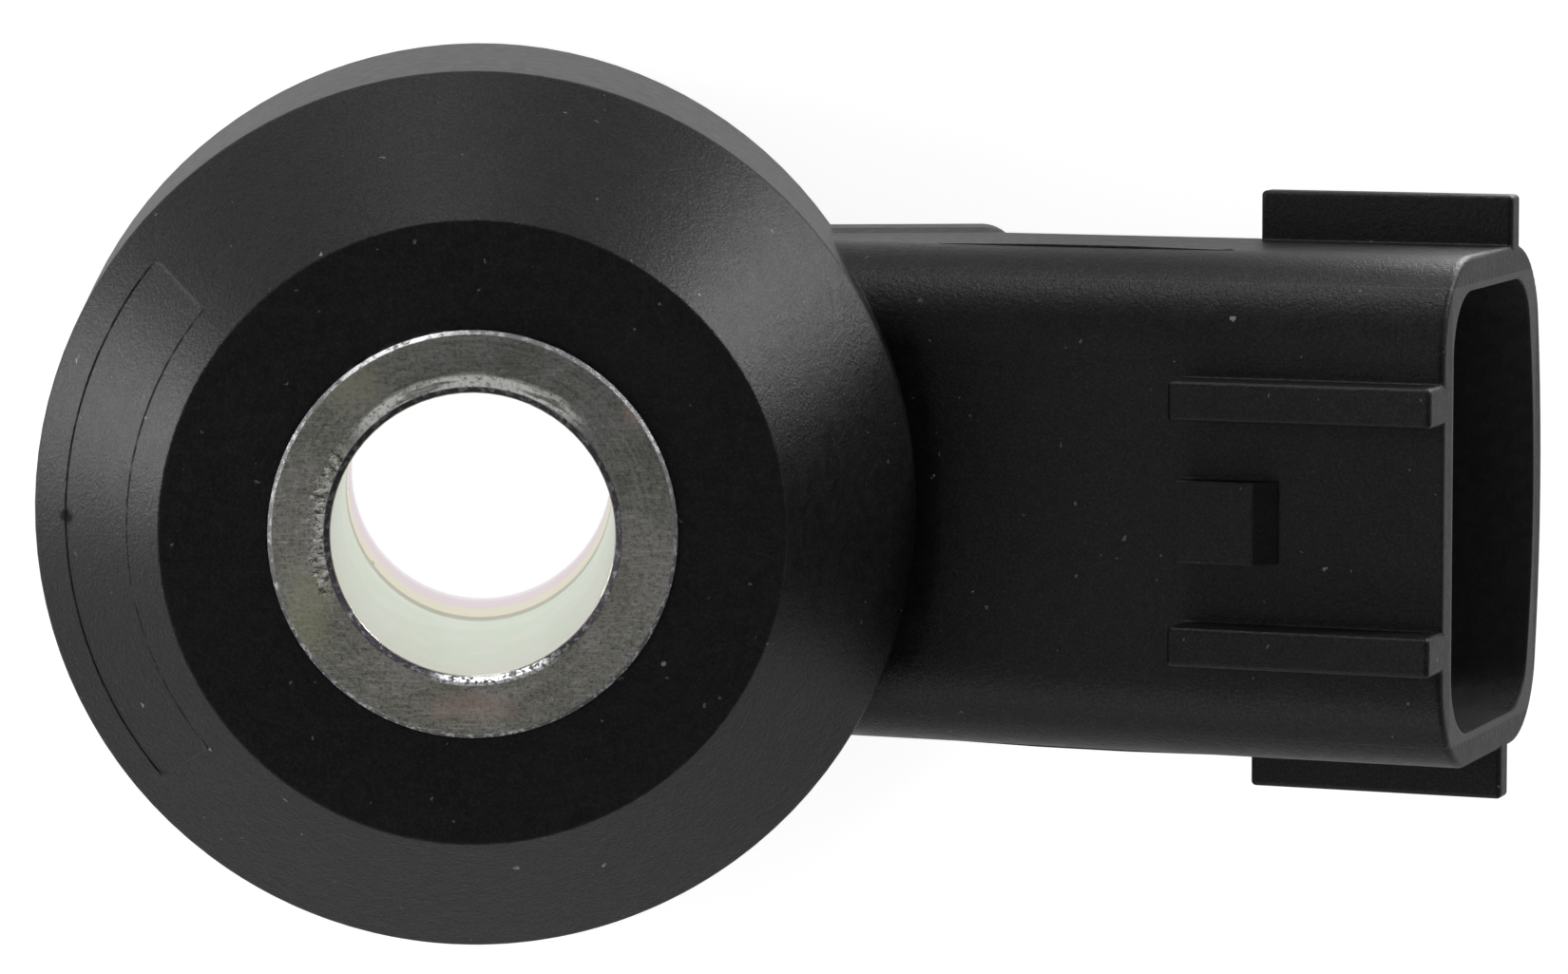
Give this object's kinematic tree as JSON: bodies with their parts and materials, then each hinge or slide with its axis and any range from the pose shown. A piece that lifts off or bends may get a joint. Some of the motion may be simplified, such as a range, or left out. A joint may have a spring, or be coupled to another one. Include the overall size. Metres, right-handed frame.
{
  "type": "engine knock sensor",
  "caption": "Ring-shaped engine knock sensor: a steel sleeve with a through bore in a round moulded plastic body, with a slanted socket for a two-way plug.",
  "frame": {"origin": "centre of the bore in the steel mounting face that rests on the engine block", "axes": "+Z along the bore towards the bolt head, +X towards the plug socket, +Y completes the right-handed frame"},
  "size_m": [0.0472, 0.0276, 0.019],
  "materials": {
    "nylon": "black glass-filled nylon, matte with a fine grain",
    "sleeve_steel": "turned steel, zinc plated, with faint turning marks",
    "carrier_plastic": "black nylon, matte",
    "insulation": "amber insulating film, satin",
    "electrode_brass": "rolled brass sheet, stamped",
    "piezo_ceramic": "fired piezoelectric ceramic, silvered on both faces",
    "mass_steel": "turned steel",
    "spring_steel": "tempered spring steel",
    "tinned_brass": "tin-plated brass, satin",
    "resistor_lacquer": "lacquered ceramic rod"
  },
  "bodies": {
    "root": {"housing": "nylon", "sleeve": "sleeve_steel", "terminal_carrier": "carrier_plastic", "insulating_tube": "insulation", "lower_insulator": "insulation", "lower_electrode": "electrode_brass", "piezo_ring": "piezo_ceramic", "upper_electrode": "electrode_brass", "upper_insulator": "insulation", "seismic_mass": "mass_steel", "disc_spring": "spring_steel", "ring_nut": "mass_steel", "terminal_left": "tinned_brass", "terminal_right": "tinned_brass", "resistor_body": "resistor_lacquer", "resistor_cap_left": "tinned_brass", "resistor_lead_left": "tinned_brass", "resistor_cap_right": "tinned_brass", "resistor_lead_right": "tinned_brass"}
  },
  "joints": []
}
